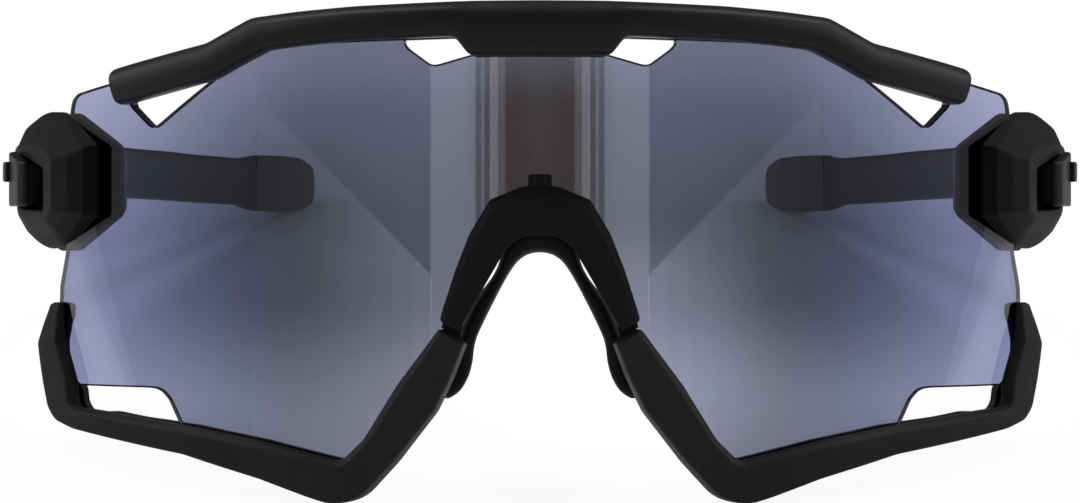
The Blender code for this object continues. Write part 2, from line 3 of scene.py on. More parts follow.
import bmesh
import bpy
import numpy as np
from mathutils import Matrix, Vector


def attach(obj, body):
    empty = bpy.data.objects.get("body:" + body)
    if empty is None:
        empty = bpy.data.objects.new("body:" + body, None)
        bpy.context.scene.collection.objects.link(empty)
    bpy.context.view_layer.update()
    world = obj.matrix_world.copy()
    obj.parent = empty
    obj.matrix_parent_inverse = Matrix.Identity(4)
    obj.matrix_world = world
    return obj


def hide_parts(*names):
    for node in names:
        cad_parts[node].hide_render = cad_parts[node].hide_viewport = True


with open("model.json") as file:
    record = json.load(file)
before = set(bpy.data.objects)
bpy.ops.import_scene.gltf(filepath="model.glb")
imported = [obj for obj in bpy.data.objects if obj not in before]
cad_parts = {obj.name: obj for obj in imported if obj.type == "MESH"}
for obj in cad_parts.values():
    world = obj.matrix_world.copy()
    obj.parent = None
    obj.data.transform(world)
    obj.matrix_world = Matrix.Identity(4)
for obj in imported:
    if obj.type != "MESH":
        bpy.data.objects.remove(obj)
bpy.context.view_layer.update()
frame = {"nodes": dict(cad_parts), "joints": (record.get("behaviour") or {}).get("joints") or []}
print("frame loaded with", len(frame["nodes"]), "nodes")

# Everything below is drawn in millimetres as worn: x right, y back, z up, from the front of the lens
wornFrame = {
    "lensRadius": 88.0,
    "blockStart": (57.9, 21.7),    # plan point where the hinge block starts
    "blockTurn": np.radians(65.0),
    "hinge": (25.5, -1.0, 10.6),   # p, q, z of the hinge axis
}
sides = (("Right", "right", 1.0), ("Left", "left", -1.0))
mergeDistance = 1e-7   # metres


# Rolled lens: u is the arc along the front face, so the angle is u over the radius; n stands off the face
def onLens(u, z, n):
    radius = wornFrame["lensRadius"]
    angle = u / radius
    x = (radius + n) * np.sin(angle)
    y = radius - (radius + n) * np.cos(angle)
    return np.stack(np.broadcast_arrays(x, y, z), axis=-1)


# Hinge block: p runs back along its outer face, q straight out of it, both turned in plan; z is up
def atHinge(p, q, z):
    turn = wornFrame["blockTurn"]
    startX, startY = wornFrame["blockStart"]
    x = startX + p * np.cos(turn) + q * np.sin(turn)
    y = startY + p * np.sin(turn) - q * np.cos(turn)
    return np.stack(np.broadcast_arrays(x, y, z), axis=-1)


# The fold axis of the right temple is the worn upright, and its place ties the worn frame to the table
foldRight = next(joint for joint in frame["joints"] if joint["name"] == "temple_fold_right")
tiltSin, tiltCos = foldRight["axis"][1], foldRight["axis"][2]


# Turn about x by the resting tilt, then millimetres to metres
def tilted(points):
    x, y, z = np.moveaxis(np.asarray(points, float), -1, 0)
    return 0.001 * np.stack([x, tiltCos * y + tiltSin * z, tiltCos * z - tiltSin * y], axis=-1)


tableShift = np.array(foldRight["pos_m"]) - tilted(atHinge(*wornFrame["hinge"]))


# Worn millimetres to metres on the table
def toTable(points):
    return tilted(points) + tableShift


wornUp = Vector((0.0, tiltSin, tiltCos))
scene = bpy.context.scene
scene.view_settings.view_transform = "Standard"


# A skin is (points, quads, lids). Rings of equal length stand one behind the other: neighbours make quads, and
# the two end rings get lids
def ringSkin(rings, lids=True):
    rows, cols = rings.shape[:2]
    grid = np.arange(rows * cols).reshape(rows, cols)
    quads = np.stack([grid[:-1], np.roll(grid[:-1], -1, 1), np.roll(grid[1:], -1, 1), grid[1:]], axis=-1)
    return rings.reshape(-1, 3), quads.reshape(-1, 4), [grid[0], grid[-1]] if lids else []


# Several skins as one: the numbers in each move up by the points before it
def joinSkins(skins):
    starts = np.cumsum([0] + [len(points) for points, quads, lids in skins])
    points = np.concatenate([skin[0] for skin in skins])
    quads = np.concatenate([skin[1] + start for skin, start in zip(skins, starts)])
    lids = [lid + start for skin, start in zip(skins, starts) for lid in skin[2]]
    return points, quads, lids


# Skin to piece: a side of -1 mirrors x, doubles merge, faces turn outward, and the piece rides its body
def makePiece(name, skin, side, materials, body, nodes=(), bevel=None, sharpAngle=None):
    points, quads, lids = skin
    placed = toTable(points * np.array([side, 1.0, 1.0]))
    placed[:, 2] = np.maximum(placed[:, 2], 0.0)   # what would dip under the table is pressed flat
    mesh = bpy.data.meshes.new(name)
    mesh.from_pydata(placed.tolist(), [], quads.tolist() + [lid.tolist() for lid in lids])
    shell = bmesh.new()
    shell.from_mesh(mesh)
    bmesh.ops.remove_doubles(shell, verts=shell.verts, dist=mergeDistance)
    bmesh.ops.recalc_face_normals(shell, faces=shell.faces)
    shell.to_mesh(mesh)
    shell.free()
    mesh.shade_smooth()
    if sharpAngle:
        mesh.set_sharp_from_angle(angle=np.radians(sharpAngle))
    for material in materials:
        mesh.materials.append(material)
    piece = bpy.data.objects.new(name, mesh)
    scene.collection.objects.link(piece)
    if bevel:
        rounding = piece.modifiers.new("edges", "BEVEL")
        rounding.width = 0.001 * bevel["width"]
        rounding.segments = bevel["segments"]
        rounding.limit_method = "ANGLE"
        rounding.angle_limit = np.radians(bevel["angle"])
    crisp = piece.modifiers.new("crisp", "WEIGHTED_NORMAL")
    crisp.keep_sharp = True
    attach(piece, body)
    if nodes:
        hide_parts(*nodes)
    return piece


cornerShare = 0.46   # most of the shorter side that an arc may take


# Every corner of a closed outline gives way to a quadratic arc: it leaves the last side one reach before
# the corner, is drawn to the corner, and joins the next side one reach after it
def roundCorners(corners, reach, steps):
    before = np.roll(corners, 1, axis=-2) - corners
    after = np.roll(corners, -1, axis=-2) - corners
    lengthBefore = np.linalg.norm(before, axis=-1, keepdims=True) + 1e-9
    lengthAfter = np.linalg.norm(after, axis=-1, keepdims=True) + 1e-9
    reach = np.minimum(np.asarray(reach)[..., None], cornerShare * np.minimum(lengthBefore, lengthAfter))
    start = (corners + before / lengthBefore * reach)[..., None, :]
    end = (corners + after / lengthAfter * reach)[..., None, :]
    t = np.linspace(0.0, 1.0, steps)[:, None]
    arc = (1 - t) ** 2 * start + 2 * t * (1 - t) * corners[..., None, :] + t ** 2 * end
    return arc.reshape(corners.shape[:-2] + (-1, corners.shape[-1]))


# The same arcs on an open line, whose two ends stay where they are
def roundOpen(line, reach, steps):
    arcs = roundCorners(line, reach, steps)[..., steps:-steps, :]
    return np.concatenate([line[..., :1, :], arcs, line[..., -1:, :]], axis=-2)


# Bell-shaped average along a line of rows; the line is carried on past its ends point for point turned over,
# so the ends stay put
def soften(rows, gap, softness):
    half = int(3.0 * softness / gap) + 1
    bell = np.exp(-0.5 * (np.arange(-half, half + 1) * gap / softness) ** 2)
    lead = 2 * rows[0] - rows[half:0:-1]
    tail = 2 * rows[-1] - rows[-2:-half - 2:-1]
    longer = np.concatenate([lead, rows, tail])
    return np.stack([np.convolve(column, bell / bell.sum(), "valid") for column in longer.T], axis=1)


# Stations are walked in straight runs at an even step, then softened, which rounds each kink
def walk(table, step, softness, near=(0, 2)):
    table = np.asarray(table, float)
    run = np.linalg.norm(np.diff(table[:, near[0]:near[1]], axis=0), axis=1)
    run = np.concatenate([[0.0], np.cumsum(np.maximum(run, 1e-6))])
    place = np.linspace(0.0, run[-1], int(run[-1] / step) + 2)
    even = np.stack([np.interp(place, run, column) for column in table.T], axis=1)
    return soften(even, place[1], softness)


# Superellipse ring: cosine and sine raised to a power below one, which squares the oval
def squaredOval(count, power):
    turn = np.linspace(0.0, 2.0 * np.pi, count, endpoint=False)
    across, up = np.cos(turn), np.sin(turn)
    return np.sign(across) * np.abs(across) ** power, np.sign(up) * np.abs(up) ** power


# Soft-cornered box: a ball in two angles with its cosines and sines raised to a power below one
def softBox(place, low, high, power, rows=18, cols=40):
    low, high = np.array(low), np.array(high)
    lift = np.linspace(-0.5 * np.pi, 0.5 * np.pi, rows)[:, None]
    around, along = squaredOval(cols, power)
    level = np.sign(np.sin(lift)) * np.abs(np.sin(lift)) ** power
    girth = np.abs(np.cos(lift)) ** power
    unit = np.stack(np.broadcast_arrays(girth * around, girth * along, level), axis=-1)
    spot = 0.5 * (low + high) + 0.5 * (high - low) * unit
    return ringSkin(place(spot[..., 0], spot[..., 1], spot[..., 2]), lids=False)


def newMaterial(name):
    material = bpy.data.materials.new(name)
    material.use_nodes = True
    tree = material.node_tree
    return material, tree, tree.nodes["Principled BSDF"]


def addNode(tree, kind, **settings):
    node = tree.nodes.new(kind)
    for key, value in settings.items():
        if key in node.inputs.keys():
            node.inputs[key].default_value = value
        else:
            setattr(node, key, value)
    return node


noiseRange = (0.3, 0.7)   # where a noise has most of its values


# Moulded finish: two noises on Object coordinates, one coarse for colour and gloss, one fine for the bump
def mouldedFinish(spec):
    material, tree, shader = newMaterial(spec["name"])
    place = addNode(tree, "ShaderNodeTexCoord")
    cloud = addNode(tree, "ShaderNodeTexNoise", Scale=spec["cloudScale"], Detail=4.0)
    grain = addNode(tree, "ShaderNodeTexNoise", Scale=spec["grainScale"], Detail=3.0, Roughness=0.6)
    tree.links.new(place.outputs["Object"], cloud.inputs["Vector"])
    tree.links.new(place.outputs["Object"], grain.inputs["Vector"])
    least, most = noiseRange
    tone = addNode(tree, "ShaderNodeValToRGB")
    for element, spot, key in zip(tone.color_ramp.elements, noiseRange, ("dark", "light")):
        element.position = spot
        element.color = (*spec[key], 1.0)
    tree.links.new(cloud.outputs["Fac"], tone.inputs["Fac"])
    tree.links.new(tone.outputs["Color"], shader.inputs["Base Color"])
    gloss = addNode(tree, "ShaderNodeMapRange")
    gloss.inputs["From Min"].default_value = least
    gloss.inputs["From Max"].default_value = most
    gloss.inputs["To Min"].default_value = spec["gloss"][0]
    gloss.inputs["To Max"].default_value = spec["gloss"][1]
    tree.links.new(grain.outputs["Fac"], gloss.inputs["Value"])
    tree.links.new(gloss.outputs["Result"], shader.inputs["Roughness"])
    bump = addNode(tree, "ShaderNodeBump", Strength=spec["bump"], Distance=spec["bumpDepth"])
    tree.links.new(grain.outputs["Fac"], bump.inputs["Height"])
    tree.links.new(bump.outputs["Normal"], shader.inputs["Normal"])
    shader.inputs["Metallic"].default_value = spec.get("metallic", 0.0)
    shader.inputs["Specular IOR Level"].default_value = spec.get("specular", 0.5)
    shader.inputs["Sheen Weight"].default_value = spec.get("sheen", 0.0)
    return material


nylonGrain = {"cloudScale": 90.0, "grainScale": 4400.0, "gloss": (0.5, 0.64), "bump": 0.2, "bumpDepth": 0.00005}
satinNylon = mouldedFinish({
    "name": "satinNylon", "dark": (0.0028, 0.0028, 0.0029), "light": (0.005, 0.005, 0.0052),
    "cloudScale": 90.0, "grainScale": 5200.0, "gloss": (0.38, 0.52), "bump": 0.16, "bumpDepth": 0.00004,
    "specular": 0.18})
mattNylon = mouldedFinish({
    **nylonGrain, "name": "mattNylon", "dark": (0.0055, 0.0055, 0.0057), "light": (0.0082, 0.0082, 0.0085),
    "specular": 0.05})
blockNylon = mouldedFinish({
    **nylonGrain, "name": "blockNylon", "dark": (0.0068, 0.0068, 0.007), "light": (0.0098, 0.0098, 0.0101),
    "specular": 0.05})
railNylon = mouldedFinish({
    **nylonGrain, "name": "railNylon", "dark": (0.0105, 0.0105, 0.0107), "light": (0.0145, 0.0145, 0.0148),
    "gloss": (0.46, 0.6), "specular": 0.09})
# painted shade: a near-black copy of the block's nylon for the block's low front walls, where a shadow gap
# falls
paintedShadeNylon = mouldedFinish({
    **nylonGrain, "name": "paintedShadeNylon", "dark": (0.001, 0.001, 0.0011), "light": (0.0018, 0.0018, 0.002),
    "specular": 0.06})
softRubber = mouldedFinish({
    "name": "softRubber", "dark": (0.0024, 0.0024, 0.0026), "light": (0.0045, 0.0045, 0.0048),
    "cloudScale": 120.0, "grainScale": 3600.0, "gloss": (0.58, 0.74), "bump": 0.22, "bumpDepth": 0.00006,
    "specular": 0.12, "sheen": 0.03})
brightSteel = mouldedFinish({
    "name": "brightSteel", "dark": (0.42, 0.42, 0.43), "light": (0.58, 0.58, 0.6),
    "cloudScale": 300.0, "grainScale": 4200.0, "gloss": (0.22, 0.36), "bump": 0.12, "bumpDepth": 0.00002,
    "metallic": 1.0})
lensEdge = mouldedFinish({
    "name": "lensEdge", "dark": (0.004, 0.004, 0.006), "light": (0.009, 0.009, 0.014),
    "cloudScale": 200.0, "grainScale": 2600.0, "gloss": (0.2, 0.32), "bump": 0.05, "bumpDepth": 0.00002})

lensTintAndPaintedLight = {
    # way out from the middle, colour: the smoke tint with painted reflections and painted shade in it: a dark
    # core, a clear band, a dark cheek and a pale rim. The dark cheek is painted shade laid over the real shadow
    # of the temple on the floor seen through the lens. The brow's colours, which paint the lens paler, take
    # over higher up
    "middle": [(0.06, (0.043, 0.036, 0.04)), (0.125, (0.078, 0.084, 0.121)), (0.27, (0.078, 0.084, 0.121)),
               (0.47, (0.052, 0.058, 0.095)), (0.71, (0.128, 0.144, 0.265)), (0.93, (0.205, 0.225, 0.405))],
    "brow": [(0.06, (0.05, 0.045, 0.052)), (0.135, (0.108, 0.117, 0.175)), (0.43, (0.118, 0.125, 0.193)),
             (0.64, (0.214, 0.232, 0.355)), (0.93, (0.375, 0.398, 0.59))],
    "browFrom": 0.57, "browTo": 0.88,
    "topLift": (0.05, 0.052, 0.07), "topFrom": 0.8, "topTo": 0.95,     # painted light added right under the brow
    "lowLift": (0.15, 0.16, 0.21), "lowFrom": 0.42, "lowTo": 0.08,     # painted light added toward the bottom edge
    "refraction": 1.59, "mirrorTint": (0.86, 0.9, 1.0, 1.0), "coat": 0.2, "coatRoughness": 0.02,
}


# Smoke tint with painted reflections and painted shade: two ramps over the distance from the middle of the
# lens, one for mid height and one for the brow, go over into each other with the height; painted light is added
# toward the top and the bottom edge
def smokeAndPaintedLightFinish():
    material, tree, shader = newMaterial("smokeLensPaintedLight")
    spread = addNode(tree, "ShaderNodeUVMap", uv_map="lensMap")
    parts = addNode(tree, "ShaderNodeSeparateXYZ")
    tree.links.new(spread.outputs["UV"], parts.inputs["Vector"])

    def tintRamp(stops):
        ramp = addNode(tree, "ShaderNodeValToRGB")
        ramp.color_ramp.elements[0].position = stops[0][0]
        ramp.color_ramp.elements[0].color = (*stops[0][1], 1.0)
        ramp.color_ramp.elements[1].position = stops[-1][0]
        ramp.color_ramp.elements[1].color = (*stops[-1][1], 1.0)
        for spot, colour in stops[1:-1]:
            ramp.color_ramp.elements.new(spot).color = (*colour, 1.0)
        ramp.color_ramp.interpolation = "CARDINAL"
        tree.links.new(parts.outputs["X"], ramp.inputs["Fac"])
        return ramp.outputs["Color"]

    def byHeight(key):
        share = addNode(tree, "ShaderNodeMapRange", interpolation_type="SMOOTHSTEP")
        share.inputs["From Min"].default_value = lensTintAndPaintedLight[key + "From"]
        share.inputs["From Max"].default_value = lensTintAndPaintedLight[key + "To"]
        tree.links.new(parts.outputs["Y"], share.inputs["Value"])
        return share.outputs["Result"]

    turn = addNode(tree, "ShaderNodeMix", data_type="RGBA")
    tree.links.new(byHeight("brow"), turn.inputs[0])
    tree.links.new(tintRamp(lensTintAndPaintedLight["middle"]), turn.inputs[6])
    tree.links.new(tintRamp(lensTintAndPaintedLight["brow"]), turn.inputs[7])
    colour = turn.outputs[2]
    # painted light: the lens is made paler toward the top and toward the bottom edge
    for key in ("top", "low"):
        lift = addNode(tree, "ShaderNodeMix", data_type="RGBA", blend_type="ADD")
        tree.links.new(byHeight(key), lift.inputs[0])
        tree.links.new(colour, lift.inputs[6])
        lift.inputs[7].default_value = (*lensTintAndPaintedLight[key + "Lift"], 1.0)
        colour = lift.outputs[2]
    tree.links.new(colour, shader.inputs["Base Color"])
    shader.inputs["Transmission Weight"].default_value = 1.0
    shader.inputs["Roughness"].default_value = 0.0
    shader.inputs["IOR"].default_value = lensTintAndPaintedLight["refraction"]
    shader.inputs["Specular Tint"].default_value = lensTintAndPaintedLight["mirrorTint"]
    shader.inputs["Coat Weight"].default_value = lensTintAndPaintedLight["coat"]
    shader.inputs["Coat Roughness"].default_value = lensTintAndPaintedLight["coatRoughness"]
    return material


smokeLensPaintedLight = smokeAndPaintedLightFinish()
print("finishes made")

# Grooved bars. Columns: lens-side edge u, z; free edge u, z; depth of the groove; start of its rear wall
browTable = [
    (0.0, 24.95, 0.0, 32.05, 1.9, 0.0), (8.9, 24.9, 8.7, 32.0, 1.9, 0.0),
    (10.65, 27.35, 10.5, 31.95, 1.9, 0.0), (17.0, 27.2, 16.9, 31.75, 1.9, 0.0),
    (24.0, 27.05, 24.0, 31.5, 1.9, 0.0), (30.9, 26.5, 31.6, 31.0, 1.9, 0.4),
    (35.5, 26.05, 38.4, 30.35, 1.9, 1.0), (39.5, 24.3, 41.8, 28.8, 1.9, 1.35),
    (43.6, 22.4, 45.1, 27.3, 1.9, 1.35), (50.2, 21.05, 52.4, 25.95, 2.2, 1.5),
    (55.6, 20.05, 58.0, 24.95, 3.0, 2.2), (59.2, 19.4, 61.2, 24.35, 3.6, 2.8)]
railTable = [
    (72.3, -6.9, 74.6, -6.9, 1.8, 0.9), (72.3, -8.2, 74.8, -8.0, 2.1, 0.9),
    (72.2, -9.3, 75.3, -9.2, 2.4, 1.0), (72.1, -9.6, 75.4, -9.5, 2.5, 2.0),
    (72.0, -10.7, 75.7, -10.5, 2.7, 2.2), (71.6, -12.0, 76.3, -12.4, 3.7, 3.2),
    (70.2, -14.7, 75.8, -14.8, 4.7, 4.2), (69.1, -17.2, 75.1, -17.6, 4.9, 4.1),
    (68.9, -17.9, 74.8, -18.5, 4.9, 2.4), (68.8, -19.9, 73.9, -21.1, 4.1, 2.3),
    (68.1, -20.95, 72.0, -22.8, 3.4, 1.6), (63.6, -21.25, 67.8, -23.9, 2.4, 0.4),
    (58.0, -21.8, 59.0, -25.1, 2.1, 0.3), (48.3, -22.8, 48.0, -26.6, 2.0, 0.0),
    (37.1, -24.5, 36.6, -29.45, 2.0, 0.0), (28.4, -26.3, 30.0, -31.6, 2.0, 0.0),
    (26.1, -26.75, 27.2, -32.4, 2.0, 0.0), (25.4, -26.75, 25.3, -32.5, 2.0, 0.0),
    (24.9, -26.4, 23.0, -31.7, 2.0, 0.0), (22.5, -24.1, 18.6, -27.1, 2.0, 0.0),
    (18.0, -16.9, 13.3, -20.5, 2.0, 0.0), (15.2, -13.2, 11.0, -15.8, 2.0, 0.0),
    (12.65, -9.75, 9.4, -11.6, 2.0, 0.0)]
bridgeTable = [
    (0.0, 8.4, 0.0, 2.1, 2.0, 0.0), (2.2, 8.3, 1.8, 2.0, 2.0, 0.0), (4.3, 7.45, 3.2, 1.3, 2.0, 0.0),
    (6.35, 6.6, 4.2, 0.3, 2.0, 0.0), (7.65, 4.4, 4.95, -1.0, 2.0, 0.0), (8.95, 2.2, 5.75, -2.4, 2.0, 0.0),
    (10.8, -2.6, 7.7, -5.9, 2.0, 0.0), (12.35, -7.4, 9.6, -9.2, 1.8, 0.0),
    (12.75, -8.9, 10.3, -10.2, 1.4, 0.0)]
barFit = {"gap": 0.3, "lensThickness": 1.8, "rearFace": 3.4, "arcSteps": 5,
          "mostInset": 0.32, "mostDepth": 0.82, "rearStart": 0.72,   # shares of the bar's width
          "lipWall": 0.5, "lipLand": 0.4, "lipRise": 0.2, "endThinning": 0.25,
          "backReach": [0.5, 0.8, 0.3, 0.12, 0.12, 0.12, 0.12]}


# Both halves of a table: its rows in reverse with u turned over, then the rows themselves
def mirroredTable(table):
    table = np.asarray(table, float)
    return np.concatenate([table[:0:-1] * np.array([-1, 1, -1, 1, 1, 1]), table])


# Grooved bar: across the bar w runs from the lens edge to the free edge and n stands off the lens. The outline
# goes over the domed front, down the free edge, along the back and through the groove; near both ends the bar
# draws in along a quarter circle
def barSkin(table, spec):
    path = walk(table, spec["step"], spec["softness"], near=spec.get("near", (0, 2)))
    edge, free, depth, lip = path[:, 0:2], path[:, 2:4], path[:, 4], path[:, 5]
    middle = 0.5 * (edge + free)
    run = np.concatenate([[0.0], np.cumsum(np.linalg.norm(np.diff(middle, axis=0), axis=1))])
    firstRadius, lastRadius = spec["endRadius"]
    firstPull = 1.0 - np.sqrt(1.0 - np.clip(1.0 - run / firstRadius, 0.0, 1.0) ** 2)
    lastPull = 1.0 - np.sqrt(1.0 - np.clip(1.0 - (run[-1] - run) / lastRadius, 0.0, 1.0) ** 2)
    squeeze = np.maximum(firstPull, lastPull)
    width = np.linalg.norm(free - edge, axis=1)
    across = (free - edge) / width[:, None]
    inset = np.minimum(np.maximum(firstRadius * firstPull, lastRadius * lastPull),
                       barFit["mostInset"] * width)
    edge = edge + across * inset[:, None]
    width = width - 2.0 * inset
    depth = np.minimum(depth, barFit["mostDepth"] * width)
    lip = np.minimum(lip, depth - barFit["lipWall"])
    rear = barFit["lensThickness"] + barFit["gap"]
    none, one = np.zeros_like(width), np.ones_like(width)
    share, reach = spec.get("thinStart", (1.0, 1.0))
    build = np.interp(run, [0.0, reach], [share, 1.0])   # a bar can start thinner and fill out
    # the start of a bar can have a front of its own, which turns into the rest
    later = np.interp(run, spec.get("startTurn", (0.0, 0.1)), [0.0, 1.0])
    front = [((first[0] + (last[0] - first[0]) * later) * width,
              (first[1] + (last[1] - first[1]) * later) * build)
             for first, last in zip(spec.get("startFront", spec["front"]), spec["front"])]
    back = [(width - spec.get("undercut", 0.0), -spec["freeRear"] * one),
            (np.maximum(barFit["rearStart"] * width, lip + barFit["lipLand"]), -barFit["rearFace"] * one),
            (lip, (barFit["lipRise"] - barFit["rearFace"]) * one), (lip, -rear * one), (depth, -rear * one),
            (depth, barFit["gap"] * one), (none, barFit["gap"] * one)]
    corners = np.stack([np.stack(pair, axis=-1) for pair in front + back], axis=1)
    reach = np.array(spec["frontReach"] + barFit["backReach"])
    outline = roundCorners(corners, reach, barFit["arcSteps"])
    w, level = outline[..., 0], outline[..., 1]
    level = level * (1.0 - barFit["endThinning"] * squeeze[:, None])
    u = edge[:, 0:1] + across[:, 0:1] * w
    z = edge[:, 1:2] + across[:, 1:2] * w
    return ringSkin(onLens(u, z, level))


browBar = {"step": 0.35, "softness": 0.45, "endRadius": (0.55, 0.55), "freeRear": 2.2, "near": (2, 4),
           "front": [(0.0, 1.9), (0.08, 2.85), (0.45, 2.95), (0.78, 2.6), (1.0, 1.0)],
           "frontReach": [0.4, 0.5, 1.4, 1.2, 0.9]}
makePiece("browBar", barSkin(mirroredTable(browTable), browBar), 1.0, [satinNylon], "front",
          ["brow_bar"], sharpAngle=50.0)

lowerRail = {"step": 0.35, "softness": 0.42, "endRadius": (0.6, 0.3), "freeRear": 2.0,
             "thinStart": (0.45, 5.5), "startTurn": (13.0, 19.0),
             "front": [(0.0, 1.6), (0.16, 2.58), (0.62, 2.66), (0.96, 2.45), (1.0, 1.6)],
             "startFront": [(0.0, 0.8), (0.08, 2.1), (0.5, 2.15), (0.96, 2.1), (1.0, 1.4)],
             "frontReach": [0.3, 0.35, 1.0, 0.4, 0.35]}
for label, node, side in sides:
    makePiece("lowerRail" + label, barSkin(railTable, lowerRail), side, [railNylon], "front",
              ["lower_rail_" + node], sharpAngle=50.0)

noseBridge = {"step": 0.25, "softness": 0.22, "endRadius": (0.4, 0.4), "freeRear": 2.4, "undercut": 0.5,
              "front": [(0.0, 1.0), (0.2, 2.5), (0.55, 2.6), (0.97, 2.5), (1.0, 2.3)],
              "frontReach": [0.22, 0.3, 0.8, 0.15, 0.15],
              "keyLow": (-1.22, 5.2, -2.6), "keyHigh": (1.22, 9.5, 0.8),
              "keyHeadLow": (-1.5, 5.2, 0.1), "keyHeadHigh": (1.5, 9.85, 1.1), "keyPower": 0.16,
              # lens-side and free corner where a foot leaves each leg and where it meets the rail
              "foot": [[(12.3, -8.5), (9.9, -9.7)], [(12.62, -9.68), (10.3, -11.0)]], "footLevels": (-0.9, 0.1)}


# Foot: a flat tongue between two sections of four corners each, low on the front of the lens
def footSkin(spec, side):
    corners = np.array(spec["foot"])
    low, high = spec["footLevels"]
    u = side * corners[:, [0, 1, 1, 0], 0]
    z = corners[:, [0, 1, 1, 0], 1]
    return ringSkin(onLens(u, z, np.array([high, high, low, low])))


bridgeSkin = joinSkins([barSkin(mirroredTable(bridgeTable), noseBridge),
                        softBox(onLens, noseBridge["keyLow"], noseBridge["keyHigh"], noseBridge["keyPower"]),
                        softBox(onLens, noseBridge["keyHeadLow"], noseBridge["keyHeadHigh"],
                                noseBridge["keyPower"]),
                        footSkin(noseBridge, 1.0), footSkin(noseBridge, -1.0)])
makePiece("noseBridge", bridgeSkin, 1.0, [mattNylon], "front", ["nose_bridge"], sharpAngle=50.0)
print("brow bar, lower rails and nose bridge made")

shieldLens = {"thickness": 1.6, "step": 0.5, "softness": 0.3, "rows": 20, "chamfer": 0.2, "gap": 0.3,
              "outlineStep": 0.25, "leastStep": 0.03, "endMargin": 0.05, "mostChamfer": 0.2,
              "mapReach": 76.0, "mapLow": -30.0, "mapHeight": 60.0,   # what the tint map spreads over
              "wallFacing": 0.9,   # a face that looks less straight out of the roll than this is wall
              "topVents": [(8.2, 25.3), (13.4, 23.85), (14.2, 23.95), (17.2, 26.1), (17.6, 26.7),
                           (17.65, 28.7)],
              "topOuter": [(44.8, 22.6), (53.7, 16.95), (54.6, 16.45), (55.4, 16.75), (58.9, 19.5),
                           (59.6, 22.8), (62.7, 22.55), (69.8, 21.35), (70.7, 20.75), (71.15, 19.4),
                           (71.6, 11.5), (72.2, 0.1), (73.6, -4.5), (73.7, -6.8), (74.0, -8.2),
                           (74.2, -10.7), (74.9, -12.2)],
              "lowVent": [(49.8, -23.4), (52.0, -19.6), (53.3, -18.5), (54.2, -18.15), (55.6, -18.05),
                          (70.9, -18.1), (74.4, -14.8), (74.9, -12.2)],
              "keySlot": [(0.0, 9.62), (1.32, 9.62), (1.36, 6.6)]}


# Where the lens ends inside a groove: the groove's depth less the gap, measured across the bar
def seatLine(table):
    table = np.asarray(table, float)
    edge, free = table[:, 0:2], table[:, 2:4]
    share = (table[:, 4] - shieldLens["gap"]) / np.linalg.norm(free - edge, axis=1)
    return edge + (free - edge) * share[:, None]


# Lens: upright columns over the roll between a lower and an upper outline; each column is one ring that goes up
# the front, over a chamfered edge, down the back and over the lower edge
def lensSkin(spec):
    brow, rail, bridge = seatLine(browTable), seatLine(railTable), seatLine(bridgeTable)
    upper = np.concatenate([brow[0:2], spec["topVents"], brow[4:9], spec["topOuter"]])
    lower = np.concatenate([spec["keySlot"], bridge[1:], rail[:12:-1], spec["lowVent"]])
    upper = walk(upper, spec["outlineStep"], spec["softness"])
    lower = walk(lower, spec["outlineStep"], spec["softness"])
    upper[:, 0] = np.maximum.accumulate(upper[:, 0])
    lower[:, 0] = np.maximum.accumulate(lower[:, 0])
    reach = min(upper[-1, 0], lower[-1, 0])
    half = np.sort(np.concatenate([upper[::2, 0], lower[::2, 0], np.arange(0.0, reach, spec["step"])]))
    half = half[(half >= 0.0) & (half < reach - spec["endMargin"])]
    half = half[np.concatenate([[True], np.diff(half) > spec["leastStep"]])]
    u = np.concatenate([-half[:0:-1], half])
    top = np.interp(np.abs(u), upper[:, 0], upper[:, 1])[:, None]
    low = np.interp(np.abs(u), lower[:, 0], lower[:, 1])[:, None]
    cut = np.minimum(spec["chamfer"], spec["mostChamfer"] * (top - low))
    share = np.linspace(0.0, 1.0, spec["rows"])
    rise = (low + cut) + (top - low - 2.0 * cut) * share
    none = np.zeros_like(rise)
    back = none - spec["thickness"]
    z = np.concatenate([rise, top, top, rise[:, ::-1], low, low], axis=1)
    n = np.concatenate([none, -cut, cut - spec["thickness"], back, cut - spec["thickness"], -cut], axis=1)
    u = u[:, None] + np.zeros_like(z)
    return ringSkin(onLens(u, z, n))


lens = makePiece("shieldLens", lensSkin(shieldLens), 1.0, [smokeLensPaintedLight, lensEdge], "front",
                 ["shield_lens"], sharpAngle=25.0)


# The map holds the distance from the middle and the height, both from 0 to 1; wall faces take the edge finish
def dressLens(mesh, spec):
    corners = np.zeros(len(mesh.loops), np.int32)
    mesh.loops.foreach_get("vertex_index", corners)
    spots = np.zeros(len(mesh.vertices) * 3)
    mesh.vertices.foreach_get("co", spots)
    worn = (spots.reshape(-1, 3) - tableShift) * 1000.0
    worn = np.stack([worn[:, 0], tiltCos * worn[:, 1] - tiltSin * worn[:, 2],
                     tiltSin * worn[:, 1] + tiltCos * worn[:, 2]], axis=-1)
    radius = wornFrame["lensRadius"]
    arc = np.abs(np.arctan2(worn[:, 0], radius - worn[:, 1])) * radius
    spread = np.stack([arc / spec["mapReach"], (worn[:, 2] - spec["mapLow"]) / spec["mapHeight"]], axis=-1)
    lensMap = mesh.uv_layers.new(name="lensMap")
    lensMap.data.foreach_set("uv", spread[corners].ravel().astype(np.float32))
    normals = np.zeros(len(mesh.polygons) * 3)
    mesh.polygons.foreach_get("normal", normals)
    centres = np.zeros(len(mesh.polygons) * 3)
    mesh.polygons.foreach_get("center", centres)
    normals, centres = normals.reshape(-1, 3), centres.reshape(-1, 3)
    upright = np.array(wornUp)
    out = centres - toTable(np.array([0.0, radius, 0.0]))
    out = out - np.outer(out @ upright, upright)
    out /= np.linalg.norm(out, axis=1, keepdims=True)
    wall = np.abs(np.sum(out * normals, axis=1)) < spec["wallFacing"]
    mesh.polygons.foreach_set("material_index", wall.astype(np.int32))


dressLens(lens.data, shieldLens)
print("shield lens made with", len(lens.data.polygons), "faces")

